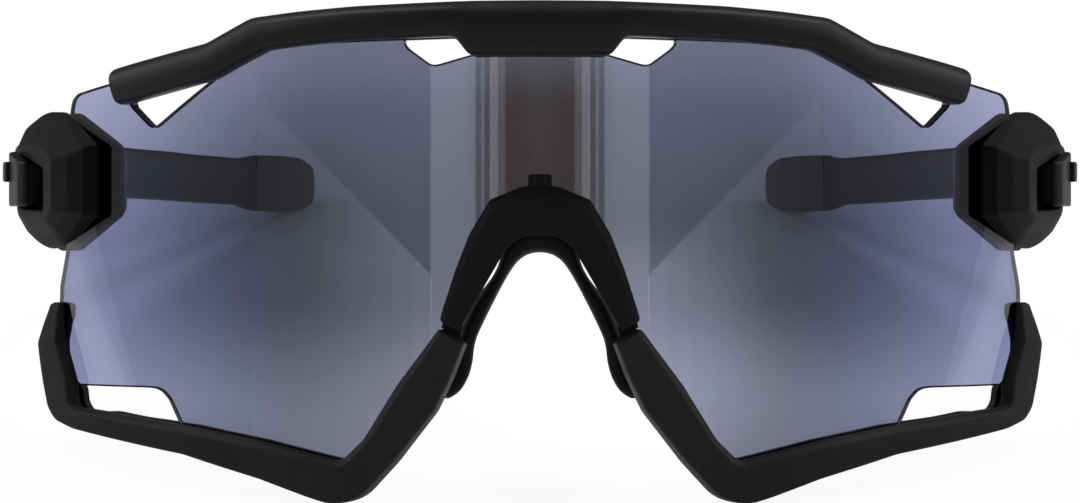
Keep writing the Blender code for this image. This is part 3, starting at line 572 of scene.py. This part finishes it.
# Nose saddle. Columns: nose-side point x, z; outward direction in degrees; thickness; depth; front y; flare
padTable = [
    (0.0, -0.05, 90.0, 4.3, 8.0, 2.0, 0.0), (1.6, -0.3, 78.0, 4.1, 8.0, 2.0, 0.0),
    (2.9, -1.2, 58.0, 2.9, 8.4, 2.1, 0.0), (4.0, -2.8, 38.0, 1.65, 8.0, 3.2, 0.0),
    (4.9, -4.4, 30.0, 1.66, 8.4, 3.5, 0.0), (6.6, -7.6, 26.0, 2.4, 10.6, 3.2, 0.04),
    (8.4, -10.9, 20.0, 2.5, 12.0, 3.6, 0.1), (8.95, -12.3, 12.0, 2.7, 11.8, 4.3, 0.14),
    (9.15, -14.1, 8.0, 2.8, 11.4, 5.2, 0.16), (9.6, -16.0, 14.0, 2.9, 11.0, 5.4, 0.16),
    (10.4, -17.9, 34.0, 2.7, 9.6, 6.0, 0.14), (11.4, -18.9, 60.0, 2.2, 7.6, 7.0, 0.1),
    (12.6, -19.5, 78.0, 1.4, 5.5, 8.0, 0.1)]
noseSaddle = {"step": 0.35, "softness": 0.6, "power": 0.62, "around": 44, "endRadius": 1.1, "endPull": 0.97}


# Saddle: a squared oval carried along the arch; it lies across the thickness and the depth, leans open toward
# the face by the flare, and draws in to a rounded tip at both ends
def saddleSkin(spec):
    table = np.asarray(padTable)
    left = table[:0:-1] * np.array([-1, 1, -1, 1, 1, 1, 1]) + np.array([0, 0, 180.0, 0, 0, 0, 0])
    path = walk(np.concatenate([left, table]), spec["step"], spec["softness"])
    run = np.concatenate([[0.0], np.cumsum(np.linalg.norm(np.diff(path[:, 0:2], axis=0), axis=1))])
    away = np.minimum(run, run[-1] - run)
    tip = np.sqrt(1.0 - np.clip(1.0 - away / spec["endRadius"], 0.0, spec["endPull"]) ** 2)[:, None]
    x, z, turn, thick, depth, front, flare = (column[:, None] for column in path.T)
    turn = np.radians(turn)
    across, along = squaredOval(spec["around"], spec["power"])
    share = 0.5 + 0.5 * along * tip
    reach = thick * (0.5 + 0.5 * across * tip) + flare * (share - 0.5) * depth * np.abs(np.cos(turn))
    return ringSkin(np.stack([x + np.cos(turn) * reach, front + share * depth,
                              z + np.sin(turn) * reach], axis=-1))


saddle = makePiece("noseSaddle", saddleSkin(noseSaddle), 1.0, [softRubber], "front", ["nose_pad"],
                   sharpAngle=70.0)
print("nose saddle made")

# Corners as (p, z, q), from the front edge upward and round
hingeBlock = {
    "under": [(0.9, 5.1, 0.75), (0.9, 13.9, 0.75), (8.9, 18.7, 2.6), (15.8, 19.1, 2.25), (22.5, 16.8, 2.25),
              (22.5, 2.9, 2.25), (16.2, 0.4, 2.25), (8.9, 0.65, 2.5)],
    "plinth": [(0.0, 4.8, 1.25), (0.0, 14.2, 1.25), (8.6, 19.0, 2.9), (15.8, 19.25, 3.7), (22.0, 17.3, 4.6),
               (22.0, 2.6, 4.2), (16.2, 0.35, 3.4), (8.6, 0.45, 2.8)],
    "shoulder": [(0.95, 5.1, 3.1), (0.95, 13.9, 3.1), (8.8, 18.6, 3.5), (15.6, 18.8, 4.3), (21.8, 16.7, 5.4),
                 (21.8, 3.1, 5.1), (16.0, 0.55, 4.1), (8.8, 1.0, 3.6)],
    "ridge": [(2.2, 5.5, 5.0), (2.2, 12.9, 5.0), (8.48, 16.72, 4.7), (16.24, 17.2, 5.18), (21.6, 15.86, 5.82),
              (21.6, 3.94, 5.64), (16.8, 2.17, 5.06), (8.48, 2.36, 4.76)],
    "face": [(4.8, 5.4, 6.5), (4.8, 12.6, 6.5), (8.0, 13.9, 6.5), (17.2, 14.8, 6.5), (21.3, 14.6, 6.45),
             (21.3, 5.2, 6.45), (18.0, 4.6, 6.5), (8.0, 4.4, 6.5)],
    "slot": [(8.4, 5.9, 6.5), (8.4, 10.8, 6.5), (8.8, 11.3, 6.5), (19.6, 13.55, 6.5), (20.1, 13.2, 6.45),
             (20.1, 6.3, 6.45), (19.6, 5.95, 6.5), (8.8, 5.5, 6.5)],
    "slotFloor": 4.3,
    "cornerReach": [0.5, 0.5, 1.3, 2.2, 1.7, 1.5, 2.0, 1.3],
    "upperReach": [0.5, 0.5, 1.3, 3.2, 1.7, 1.5, 2.9, 1.3],
    "ringReach": {"under": "cornerReach", "plinth": "cornerReach", "shoulder": "upperReach",
                  "ridge": "upperReach", "face": "upperReach"},
    "slotReach": 0.25,
    "edgeReach": [0.0, 0.25, 0.3, 0.3, 0.55, 0.35, 0.0],
    # the low bands and front columns of faces that get the painted shade
    "arcSteps": 6, "edgeSteps": 5, "paintedShadeBands": 8, "paintedShadeColumns": (14, 44),
}


# Block: rings of an eight-sided outline climb from the lens to the plinth, shoulder, ridge and outer face, then
# turn in over the rim of the slot and down to its floor; corners are rounded round each ring and up each column
def blockSkin(spec):
    steps = spec["arcSteps"]
    outer = [roundCorners(np.asarray(spec[ring]), spec[reach], steps)
             for ring, reach in spec["ringReach"].items()]
    slot = roundCorners(np.asarray(spec["slot"]), np.full(len(spec["slot"]), spec["slotReach"]), steps)
    floor = slot.copy()
    floor[:, 2] = spec["slotFloor"]
    columns = np.moveaxis(np.stack(outer + [slot, floor]), 0, 1)
    rings = np.moveaxis(roundOpen(columns, spec["edgeReach"], spec["edgeSteps"]), 1, 0)
    return ringSkin(atHinge(rings[..., 0], rings[..., 2], rings[..., 1]))


# The low bands of faces at the front corners, which stand up from the lens, take a near-black finish: painted
# shade for the shadow gap between the block and the lens
def paintBlockShade(mesh, spec):
    band, column = np.divmod(np.arange(len(mesh.polygons)), len(spec["face"]) * spec["arcSteps"])
    first, last = spec["paintedShadeColumns"]
    wall = (band < spec["paintedShadeBands"]) & ((column < first) | (column >= last))
    mesh.polygons.foreach_set("material_index", wall.astype(np.int32))


for label, node, side in sides:
    block = makePiece("hingeBlock" + label, blockSkin(hingeBlock), side, [blockNylon, paintedShadeNylon], "front",
                      ["hinge_block_" + node], sharpAngle=60.0)
    paintBlockShade(block.data, hingeBlock)
print("hinge blocks made")

# Corners as (p, z, q), in the block's order
hingeCarrier = {
    "back": [(1.3, 5.6, -3.7), (1.3, 13.4, -3.7), (8.9, 17.2, -1.3), (15.2, 17.3, -2.6), (20.9, 15.0, -3.2),
             (20.9, 4.5, -3.2), (15.2, 1.7, -2.6), (8.9, 1.8, -1.3)],
    "step": [(0.0, 4.8, -2.9), (0.0, 14.2, -2.9), (8.6, 18.8, 0.1), (15.5, 18.8, -1.2), (22.5, 16.0, -1.9),
             (22.5, 3.6, -1.9), (15.5, 0.1, -1.2), (8.6, 0.1, 0.1)],
    "top": [(0.0, 4.8, -1.75), (0.0, 14.2, -1.75), (8.6, 18.8, 1.6), (15.5, 18.8, 1.95), (22.5, 16.0, 1.95),
            (22.5, 3.6, 1.95), (15.5, 0.1, 1.95), (8.6, 0.1, 1.6)],
    "cornerReach": [0.6, 0.6, 0.9, 1.2, 1.2, 1.2, 1.2, 0.9],
    "edgeReach": [0.0, 0.4, 0.0],
    "arcSteps": 5, "edgeSteps": 5,
    "earRadius": 2.3, "earRoot": 18.5, "earInner": 2.6, "earHeight": 2.4, "earEdge": 0.2, "earEase": 0.06,
    "earSteps": 25,
}


# Carrier plate: rings of the block's outline, set in at the back, out over a chamfer, then up to the lens or
# the block. Ears: a tongue with a round end about the hinge axis, swept upright and drawn in at both faces
def carrierSkin(spec):
    steps = spec["arcSteps"]
    outer = [roundCorners(np.asarray(spec[key]), spec["cornerReach"], steps) for key in ("back", "step", "top")]
    columns = np.moveaxis(np.stack(outer), 0, 1)
    rings = np.moveaxis(roundOpen(columns, spec["edgeReach"], spec["edgeSteps"]), 1, 0)
    skins = [ringSkin(atHinge(rings[..., 0], rings[..., 2], rings[..., 1]))]
    p, q, z = wornFrame["hinge"]
    turn = np.radians(np.linspace(-90.0, 90.0, spec["earSteps"]))
    cut, ease, height = spec["earEdge"], spec["earEase"], spec["earHeight"]
    drawnIn = np.array([cut, ease, 0.0, 0.0, ease, cut])[:, None]
    rise = np.array([0.0, ease, cut, height - cut, height - ease, height])[:, None]
    radius = spec["earRadius"] - drawnIn
    root = spec["earRoot"] + 0.0 * drawnIn
    earP = np.concatenate([root, p + radius * np.cos(turn), root], axis=1)
    earQ = np.concatenate([q - radius, q + radius * np.sin(turn), q + radius], axis=1)
    for low in (z + spec["earInner"], z - spec["earInner"] - height):
        skins.append(ringSkin(atHinge(earP, earQ, low + rise)))
    return joinSkins(skins)


for label, node, side in sides:
    makePiece("hingeCarrier" + label, carrierSkin(hingeCarrier), side, [satinNylon], "front",
              ["hinge_carrier_" + node], sharpAngle=50.0)

# Radius, height along the axis, share of the lobes
hingeScrew = {
    "rings": [(0.65, -4.8, 0.0), (0.8, -4.65, 0.0), (0.8, 5.2, 0.0), (1.4, 5.2, 0.0), (1.5, 5.3, 0.0),
              (1.5, 5.6125, 0.0), (1.38, 5.8, 0.0), (1.1, 5.95, 0.0), (0.74, 5.95, 0.6), (0.62, 5.9, 1.0),
              (0.58, 5.5, 1.0), (0.05, 5.5, 0.0)],
    "lobeDepth": 0.1, "lobes": 6, "around": 48,
}


# Screw: rings turned about the hinge axis, up the pin, over the head and down a six-lobed recess, whose radius
# swings with the cosine of six times the angle
def screwSkin(spec):
    turn = np.linspace(0.0, 2.0 * np.pi, spec["around"], endpoint=False)[None, :]
    radius, height, lobed = (column[:, None] for column in np.array(spec["rings"]).T)
    radius = radius + spec["lobeDepth"] * lobed * np.cos(spec["lobes"] * turn)
    p, q, z = wornFrame["hinge"]
    return ringSkin(atHinge(p + radius * np.cos(turn), q + radius * np.sin(turn), z + height))


for label, node, side in sides:
    makePiece("hingeScrew" + label, screwSkin(hingeScrew), side, [brightSteel], "front",
              ["hinge_screw_" + node], sharpAngle=32.0)
    leaf = frame["nodes"]["lock_spring_" + node]
    leaf.data.materials.clear()
    leaf.data.materials.append(brightSteel)
print("carriers and screws made")

slideLock = {
    "body": [(14.1, 4.55), (19.8, 4.55), (19.8, 7.0), (14.1, 7.0)], "bodyReach": [0.15, 0.15, 0.2, 0.2],
    "bodyLow": 6.5, "bodyHigh": 11.6, "bodySlope": 0.2, "bodyCut": 0.2,
    "cap": [(14.0, 6.8), (20.0, 6.7), (20.0, 7.5), (19.4, 8.1), (15.0, 8.1), (14.0, 7.5)],
    "capReach": [0.12, 0.12, 0.4, 0.5, 0.6, 0.4],
    "capLow": 6.25, "capHigh": 12.1, "capSlope": 0.3, "capCut": 0.4,
    "nubLow": (19.0, 6.9, 9.6), "nubHigh": (20.5, 8.65, 12.4), "nubPower": 0.25,
    "steps": 5,
}


# Upright sweep of a rounded outline in p and q: the upper end climbs to the rear by the slope, and both ends
# draw in over a small quarter circle
def sweptLock(spec, part):
    steps, endCut = spec["steps"], spec[part + "Cut"]
    outline = roundCorners(np.asarray(spec[part]), spec[part + "Reach"], steps)
    centre = outline.mean(axis=0)
    length = np.linalg.norm(outline - centre, axis=1)
    turn = np.linspace(0.0, 0.5 * np.pi, steps)
    pull = endCut * np.concatenate([1.0 - np.sin(turn), 1.0 - np.sin(turn[::-1])])[:, None]
    dip = endCut * np.concatenate([1.0 - np.cos(turn), np.cos(turn[::-1]) - 1.0])[:, None]
    share = (length - pull) / length
    p = centre[0] + (outline[:, 0] - centre[0]) * share
    q = centre[1] + (outline[:, 1] - centre[1]) * share
    top = spec[part + "High"] + spec[part + "Slope"] * (p - spec[part][0][0])
    isTop = np.repeat([0.0, 1.0], steps)[:, None]
    return ringSkin(atHinge(p, q, spec[part + "Low"] * (1.0 - isTop) + top * isTop + dip))


# Lock: a body that runs in the slot, a taller cap above the outer face, and a soft-cornered thumb nub
def lockSkin(spec):
    nub = softBox(atHinge, spec["nubLow"], spec["nubHigh"], spec["nubPower"])
    return joinSkins([sweptLock(spec, "body"), sweptLock(spec, "cap"), nub])


for label, node, side in sides:
    makePiece("slideLock" + label, lockSkin(slideLock), side, [satinNylon], "lock_" + node,
              ["slide_lock_" + node], sharpAngle=50.0)
print("slide locks made")

templeArm = {
    "start": 46.0, "end": 160.6, "x": 71.5, "sweep": 31.0, "power": 1.75,
    "step": 0.6, "softness": 0.5, "corner": 0.42, "around": 40,
    # y, half thickness, half height, height of the middle, shift outward
    "stations": [(41.9, 1.6, 4.3, 10.6, 0.35), (45.0, 1.85, 4.5, 10.6, 0.8), (48.5, 2.05, 4.45, 10.7, 0.45),
                 (52.0, 2.3, 4.35, 10.9, 0.0), (56.0, 2.2, 4.25, 11.1, 0.0), (63.0, 2.0, 4.1, 11.5, 0.0),
                 (71.0, 1.85, 4.0, 11.9, 0.0), (80.0, 1.75, 3.95, 12.1, 0.0), (90.0, 1.7, 3.9, 12.2, 0.0),
                 (110.0, 1.7, 3.9, 12.1, 0.0), (120.0, 1.7, 3.9, 11.9, 0.0), (129.0, 1.7, 3.9, 11.8, 0.0),
                 (137.2, 1.7, 3.9, 11.7, 0.0), (137.6, 0.8, 2.3, 11.7, 0.0), (154.0, 0.8, 2.3, 11.6, 0.0)],
    "knuckleRadius": 2.3, "knuckleHalf": 2.3, "knuckleSteps": 21,
    "webReach": 4.0, "webRear": 1.2, "webFront": 0.3, "bevel": {"width": 0.2, "segments": 3, "angle": 40.0},
}


# Middle line of the arm in plan: x falls from the hinge by a power of the way back; across is square to it
def templeLine(y):
    run, sweep, power = templeArm["end"] - templeArm["start"], templeArm["sweep"], templeArm["power"]
    share = np.maximum(0.0, (y - templeArm["start"]) / run)
    x = templeArm["x"] - sweep * share ** power
    slope = -sweep * power * share ** (power - 1.0) / run
    length = np.hypot(1.0, slope)
    return x, 1.0 / length, -slope / length


# Arm or grip: squared ovals on that line, as thick and high as the stations say
def armSkin(spec):
    path = walk(spec["stations"], spec["step"], spec["softness"], near=(0, 1))
    y, thick, high, middle, shift = (column[:, None] for column in path.T)
    x, acrossX, acrossY = templeLine(y)
    side, rise = squaredOval(spec["around"], spec["corner"])
    reach = thick * side + shift
    return ringSkin(np.stack(np.broadcast_arrays(x + acrossX * reach, y + acrossY * reach,
                                                 middle + high * rise), axis=-1))


# Knuckle: a plan outline round the hinge axis that runs out into the arm, swept upright
def knuckleSkin(spec):
    p, q, z = wornFrame["hinge"]
    turn = np.radians(np.linspace(180.0, 360.0, spec["knuckleSteps"]))
    radius, webQ = spec["knuckleRadius"], q + spec["webReach"]
    webP = [p + radius + spec["webRear"], p - radius + spec["webFront"]]
    outP = np.concatenate([p + radius * np.cos(turn), webP])
    outQ = np.concatenate([q + radius * np.sin(turn), [webQ, webQ]])
    levels = z + spec["knuckleHalf"] * np.array([-1.0, 1.0])[:, None]
    return ringSkin(atHinge(outP[None, :], outQ[None, :], levels))


templeGrip = {
    "stations": [(136.95, 1.62, 3.82, 11.6, 0.0), (137.0, 1.85, 4.05, 11.6, 0.0), (139.0, 2.1, 4.3, 11.6, 0.0),
                 (142.5, 2.45, 4.75, 11.6, 0.0), (150.0, 2.6, 4.85, 11.6, 0.0), (155.5, 2.45, 4.65, 11.6, 0.0),
                 (158.8, 1.95, 3.7, 11.6, 0.0), (160.2, 1.2, 2.5, 11.6, 0.0), (160.6, 0.35, 0.9, 11.6, 0.0)],
    "step": 0.3, "softness": 0.35, "corner": 0.6, "around": 44,
}
for label, node, side in sides:
    body = "temple_arm_" + node
    makePiece("templeArm" + label, armSkin(templeArm), side, [satinNylon], body, ["temple_" + node],
              sharpAngle=50.0)
    makePiece("templeKnuckle" + label, knuckleSkin(templeArm), side, [satinNylon], body,
              bevel=templeArm["bevel"])
    grip = makePiece("templeGrip" + label, armSkin(templeGrip), side, [softRubber], body,
                     ["temple_grip_" + node], sharpAngle=60.0)
print("temples and grips made")

# Places in millimetres as worn, lamp sizes in metres; the right side's lamps are mirrored for the left
studio = {
    "camera": (0.0, -430.0, 0.0), "focal": 112.4, "sensor": 36.0, "nearest": 0.01,
    "floorHalf": 4.0, "floorGrey": 0.9, "floorRoughness": 0.9, "worldGrey": 0.1,
    # share of plain white that each kind of ray sees on the floor; a ray through the lens counts as glossy too,
    # so the later share wins
    "floorGlow": {"Glossy": 0.3, "Transmission": 0.15, "Camera": 0.93},
    "topLight": {"place": (400.0, 110.0, 900.0), "aim": (0.0, 60.0, 0.0), "size": (0.34, 0.42), "level": 7.4},
    "rimLight": {"place": (700.0, -70.0, 40.0), "aim": (0.0, -70.0, 40.0), "size": (0.79, 0.5), "level": 0.18},
    "sideLight": {"place": (620.0, -60.0, 360.0), "aim": (0.0, 0.0, 0.0), "size": (0.8, 0.36), "level": 2.9},
    # upright light strips in front, which the lens mirrors: way out, width, brightness
    "strips": [(213.0, 0.116, 1.2), (137.5, 0.009, 0.8), (109.0, 0.021, 1.4), (89.5, 0.013, 0.65)],
    "stripAhead": -700.0, "stripLevel": 60.0, "stripHeight": 0.5,
    # a low panel beside them, which fades outward: way along it, width, brightness
    "lowSteps": [(-194.0, 0.048, 0.98), (-142.5, 0.055, 0.79), (-87.5, 0.055, 0.64), (-32.0, 0.056, 0.52),
                 (24.0, 0.056, 0.43), (80.0, 0.056, 0.36), (136.0, 0.056, 0.3), (196.5, 0.065, 0.25)],
    "lowPlace": (441.4, -543.5, -73.0), "lowAim": (10.4, 8.1, -73.0), "lowAlong": (0.781, 0.61, 0.136),
    "lowHeight": 0.19, "lowRoll": np.radians(7.8),
    # a spot from behind, in metres on the table
    "poolPlace": (0.03, 0.52, 0.27), "poolAim": (0.013, 0.0, 0.0), "poolAngle": np.radians(6.0),
    "poolWatts": 29.0, "poolRadius": 0.01,
}


# Lamp with a rectangular face at one worn point, looking at another; watts come from the wanted brightness
def softLamp(name, side, place, aim, size, level, roll=0.0):
    lamp = bpy.data.lights.new(name, "AREA")
    lamp.shape = "RECTANGLE"
    lamp.size, lamp.size_y = size
    lamp.energy = level * np.pi * size[0] * size[1]
    holder = bpy.data.objects.new(name, lamp)
    scene.collection.objects.link(holder)
    mirror = np.array([side, 1.0, 1.0])
    spot = Vector(toTable(mirror * place))
    ahead = (Vector(toTable(mirror * aim)) - spot).normalized()
    right = ahead.cross(wornUp).normalized()
    turned = Matrix((right, right.cross(ahead), -ahead)).transposed() @ Matrix.Rotation(side * roll, 3, "Z")
    holder.matrix_world = Matrix.Translation(spot) @ turned.to_4x4()


# Floor: a flat square of matt white, which also glows for each kind of ray by its share
def makeFloor():
    half = studio["floorHalf"]
    mesh = bpy.data.meshes.new("studioFloor")
    corner = np.array([[-1, -1, 0], [1, -1, 0], [1, 1, 0], [-1, 1, 0]]) * half
    mesh.from_pydata(corner.tolist(), [], [[0, 1, 2, 3]])
    floor = bpy.data.objects.new("studioFloor", mesh)
    scene.collection.objects.link(floor)
    material, tree, shader = newMaterial("studioWhite")
    shader.inputs["Base Color"].default_value = (*[studio["floorGrey"]] * 3, 1.0)
    shader.inputs["Roughness"].default_value = studio["floorRoughness"]
    shader.inputs["Specular IOR Level"].default_value = 0.0
    path = addNode(tree, "ShaderNodeLightPath")
    share = None
    for ray, glowShare in studio["floorGlow"].items():
        pick = addNode(tree, "ShaderNodeMix", data_type="FLOAT")
        tree.links.new(path.outputs["Is " + ray + " Ray"], pick.inputs[0])
        if share:
            tree.links.new(share.outputs[0], pick.inputs[2])
        else:
            pick.inputs[2].default_value = 0.0
        pick.inputs[3].default_value = glowShare
        share = pick
    glow = addNode(tree, "ShaderNodeEmission", Strength=1.0)
    blend = addNode(tree, "ShaderNodeMixShader")
    tree.links.new(share.outputs[0], blend.inputs[0])
    tree.links.new(shader.outputs[0], blend.inputs[1])
    tree.links.new(glow.outputs[0], blend.inputs[2])
    tree.links.new(blend.outputs[0], tree.nodes["Material Output"].inputs["Surface"])
    mesh.materials.append(material)


makeFloor()
world = bpy.data.worlds.new("studioAir")
scene.world = world
world.use_nodes = True
air = world.node_tree.nodes["Background"]
air.inputs["Color"].default_value = (1.0, 1.0, 1.0, 1.0)
air.inputs["Strength"].default_value = studio["worldGrey"]

for label, node, side in sides:
    softLamp("topLight" + label, side, **studio["topLight"])
    for spot, (across, width, level) in enumerate(studio["strips"]):
        softLamp("strip" + label + str(spot), side, (across, studio["stripAhead"], studio["stripLevel"]),
                 (across, 0.0, studio["stripLevel"]), (width, studio["stripHeight"]), level)
    for spot, (along, width, level) in enumerate(studio["lowSteps"]):
        shift = along * np.array(studio["lowAlong"])
        softLamp("lowLight" + label + str(spot), side, studio["lowPlace"] + shift, studio["lowAim"] + shift,
                 (width, studio["lowHeight"]), level, studio["lowRoll"])
    softLamp("rimLight" + label, side, **studio["rimLight"])
    softLamp("sideLight" + label, side, **studio["sideLight"])

# A spot from behind brightens the floor that shows through the lens on the right of the nose
pool = bpy.data.lights.new("floorPool", "SPOT")
pool.energy, pool.shadow_soft_size = studio["poolWatts"], studio["poolRadius"]
pool.spot_size, pool.spot_blend = studio["poolAngle"], 1.0
poolHolder = bpy.data.objects.new("floorPool", pool)
scene.collection.objects.link(poolHolder)
poolPlace, poolAim = Vector(studio["poolPlace"]), Vector(studio["poolAim"])
poolHolder.matrix_world = (Matrix.Translation(poolPlace)
                           @ (poolAim - poolPlace).to_track_quat("-Z", "Y").to_matrix().to_4x4())

camera = bpy.data.cameras.new("photoCamera")
camera.sensor_fit = "HORIZONTAL"
camera.sensor_width = studio["sensor"]
camera.lens = studio["focal"]
camera.clip_start = studio["nearest"]
cameraHolder = bpy.data.objects.new("photoCamera", camera)
scene.collection.objects.link(cameraHolder)
cameraBack = Vector((0.0, -tiltCos, tiltSin))
cameraTurn = Matrix((Vector((1.0, 0.0, 0.0)), wornUp, cameraBack)).transposed()
cameraPlace = Vector(toTable(np.array(studio["camera"])))
cameraHolder.matrix_world = Matrix.Translation(cameraPlace) @ cameraTurn.to_4x4()
scene.camera = cameraHolder
print("studio made")
